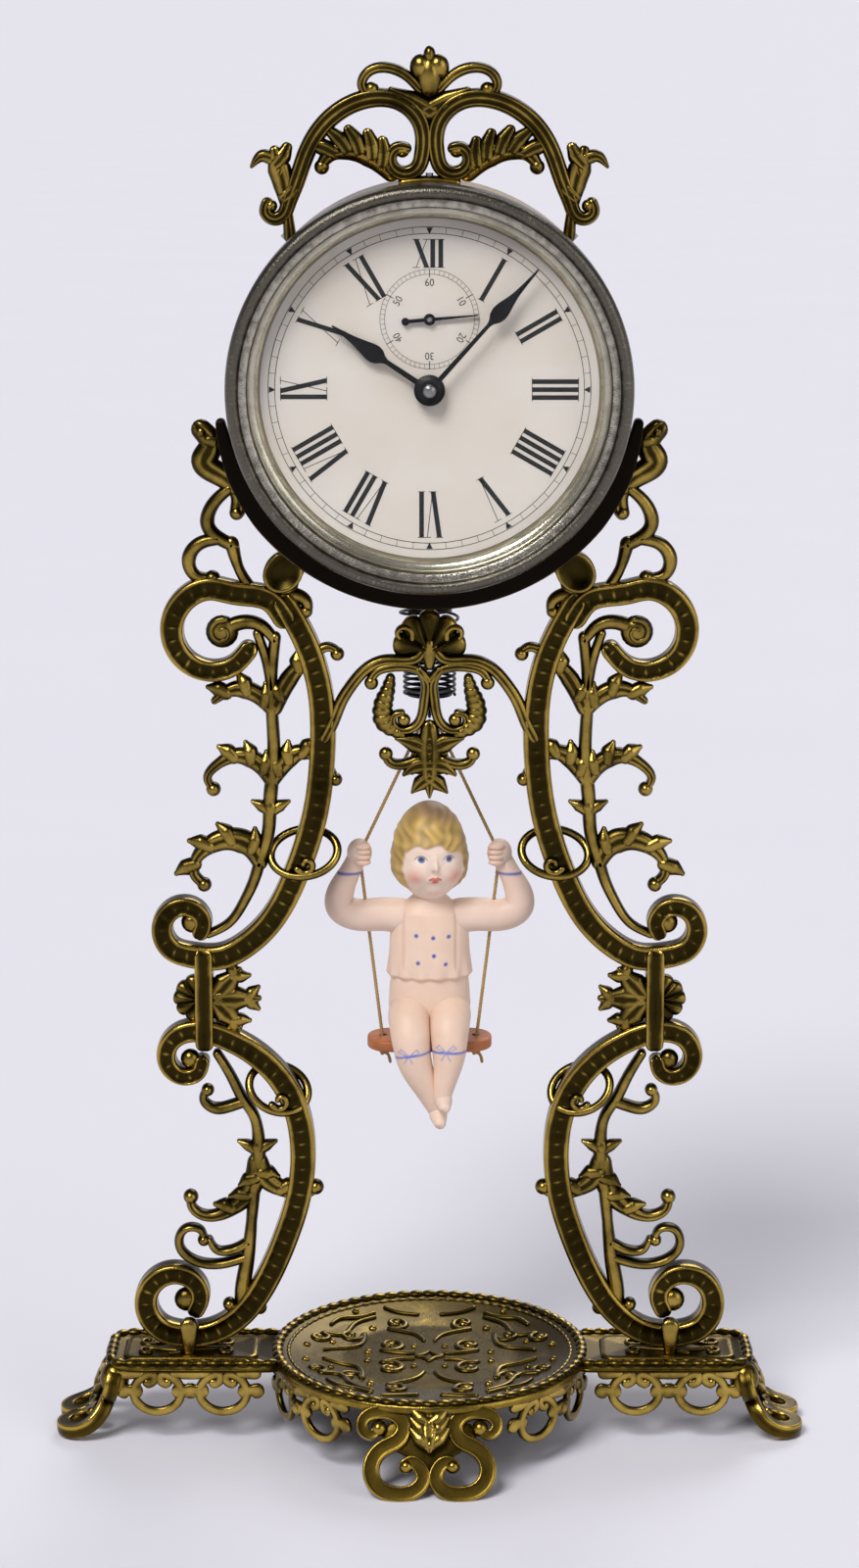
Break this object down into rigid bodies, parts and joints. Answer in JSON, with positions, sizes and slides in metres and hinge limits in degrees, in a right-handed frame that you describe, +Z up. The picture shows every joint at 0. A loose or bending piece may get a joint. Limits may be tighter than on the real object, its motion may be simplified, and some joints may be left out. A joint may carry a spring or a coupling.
{
  "type": "bobbing doll table clock",
  "caption": "Table clock on scrolled brass legs: a drum case with seconds dial over a doll on a swing that bobs on a coil spring.",
  "frame": {"origin": "on the surface that the feet stand on, under the middle of the base", "axes": "+Z up, +X to the viewer's right, the dial faces -Y"},
  "size_m": [0.2076, 0.1078, 0.3752],
  "materials": {
    "cast_brass": "antique cast brass, dark in the recesses and rubbed bright on the edges",
    "dark_brass": "almost black patina",
    "case_brass": "spun sheet brass, tarnished",
    "nickel": "worn and pitted nickel plate",
    "clock_glass": "clear flat glass",
    "dial_paper": "aged paper on a metal disc",
    "hand_black": "blued black, satin",
    "plate_brass": "rolled brass, brushed",
    "train_steel": "turned and polished",
    "spring_steel": "black oil-tempered",
    "bisque": "unglazed bisque, tinted and painted",
    "cord_tan": "twisted thread",
    "seat_wood": "stained orange brown, satin"
  },
  "bodies": {
    "stand": {"base_plate": "cast_brass", "left_leg": "cast_brass", "right_leg": "cast_brass", "leg_nuts": "train_steel", "apron": "cast_brass", "collar": "dark_brass", "collar_screws": "train_steel", "crest": "cast_brass", "crest_screws": "train_steel", "case_drum": "case_brass", "back_cover": "case_brass", "bezel": "nickel", "glass": "clock_glass", "sight_ring": "nickel", "dial": "dial_paper", "dial_posts": "plate_brass", "front_plate": "plate_brass", "back_plate": "plate_brass", "pillars": "train_steel", "motion_stud": "train_steel", "mainspring": "train_steel"},
    "centre": {"centre_arbor": "train_steel", "cannon_pinion": "train_steel", "minute_hand": "hand_black", "hand_nut": "train_steel", "set_knob": "plate_brass"},
    "centre_train": {"centre_wheel": "plate_brass", "centre_pinion": "train_steel"},
    "hour": {"hour_wheel": "plate_brass", "hour_hand": "hand_black"},
    "motion": {"minute_wheel": "plate_brass", "minute_pinion": "train_steel"},
    "third": {"third_arbor": "train_steel", "third_wheel": "plate_brass", "third_pinion": "train_steel"},
    "escape": {"escape_arbor": "train_steel", "escape_pinion": "train_steel", "escape_wheel": "plate_brass", "seconds_hand": "hand_black"},
    "great": {"great_wheel": "plate_brass", "click": "train_steel"},
    "winding": {"winding_arbor": "train_steel", "ratchet": "train_steel", "winding_key": "plate_brass"},
    "rocker": {"lever_arbor": "train_steel", "lever": "train_steel", "lift_wire": "spring_steel"},
    "bob": {"spring_hook": "spring_steel", "bob_spring": "spring_steel"},
    "swing": {"swing_cord": "cord_tan", "cord_knots": "cord_tan", "seat": "seat_wood", "doll": "bisque"}
  },
  "joints": [
    {"name": "minute_turn", "type": "hinge", "parent": "stand", "child": "centre", "pos_m": [0, 0, 0.2885], "axis": [0, 1, 0], "continuous": true},
    {"name": "hour_turn", "type": "hinge", "parent": "stand", "child": "hour", "pos_m": [0, 0, 0.2885], "axis": [0, 1, 0], "continuous": true},
    {"name": "motion_turn", "type": "hinge", "parent": "stand", "child": "motion", "pos_m": [0.00919, 0, 0.28079], "axis": [0, 1, 0], "continuous": true},
    {"name": "seconds_turn", "type": "hinge", "parent": "stand", "child": "escape", "pos_m": [0, 0, 0.3065], "axis": [0, 1, 0], "continuous": true},
    {"name": "third_turn", "type": "hinge", "parent": "stand", "child": "third", "pos_m": [-0.01017, 0, 0.29969], "axis": [0, 1, 0], "continuous": true},
    {"name": "centre_turn", "type": "hinge", "parent": "stand", "child": "centre_train", "pos_m": [0, 0, 0.2885], "axis": [0, 1, 0], "continuous": true},
    {"name": "great_turn", "type": "hinge", "parent": "stand", "child": "great", "pos_m": [-0.01778, 0, 0.27605], "axis": [0, 1, 0], "continuous": true},
    {"name": "winding_turn", "type": "hinge", "parent": "great", "child": "winding", "pos_m": [-0.01778, 0, 0.27605], "axis": [0, 1, 0], "continuous": true},
    {"name": "doll_bob", "type": "slide", "parent": "stand", "child": "bob", "axis": [0, 0, 1], "range_m": [-0.006, 0.006], "stiffness_N_per_m": 20, "springref_m": 0.0285, "deforming": ["bob_spring"]},
    {"name": "doll_swing", "type": "hinge", "parent": "bob", "child": "swing", "pos_m": [0, 0.0123, 0.19761], "axis": [1, 0, 0], "range_deg": [-6, 6]},
    {"name": "lever_rock", "type": "hinge", "parent": "stand", "child": "rocker", "pos_m": [0.022, 0, 0.2625], "axis": [0, 1, 0], "range_deg": [-1.6, 1.6]}
  ],
  "couplings": [
    {"joint": "hour_turn", "follows": "minute_turn", "ratio": 0.083333},
    {"joint": "motion_turn", "follows": "minute_turn", "ratio": -0.33333},
    {"joint": "third_turn", "follows": "seconds_turn", "ratio": -0.13333},
    {"joint": "centre_turn", "follows": "seconds_turn", "ratio": 0.016667},
    {"joint": "great_turn", "follows": "seconds_turn", "ratio": -0.0027778},
    {"joint": "lever_rock", "follows": "doll_bob", "rad_per_m": 4.3633}
  ]
}
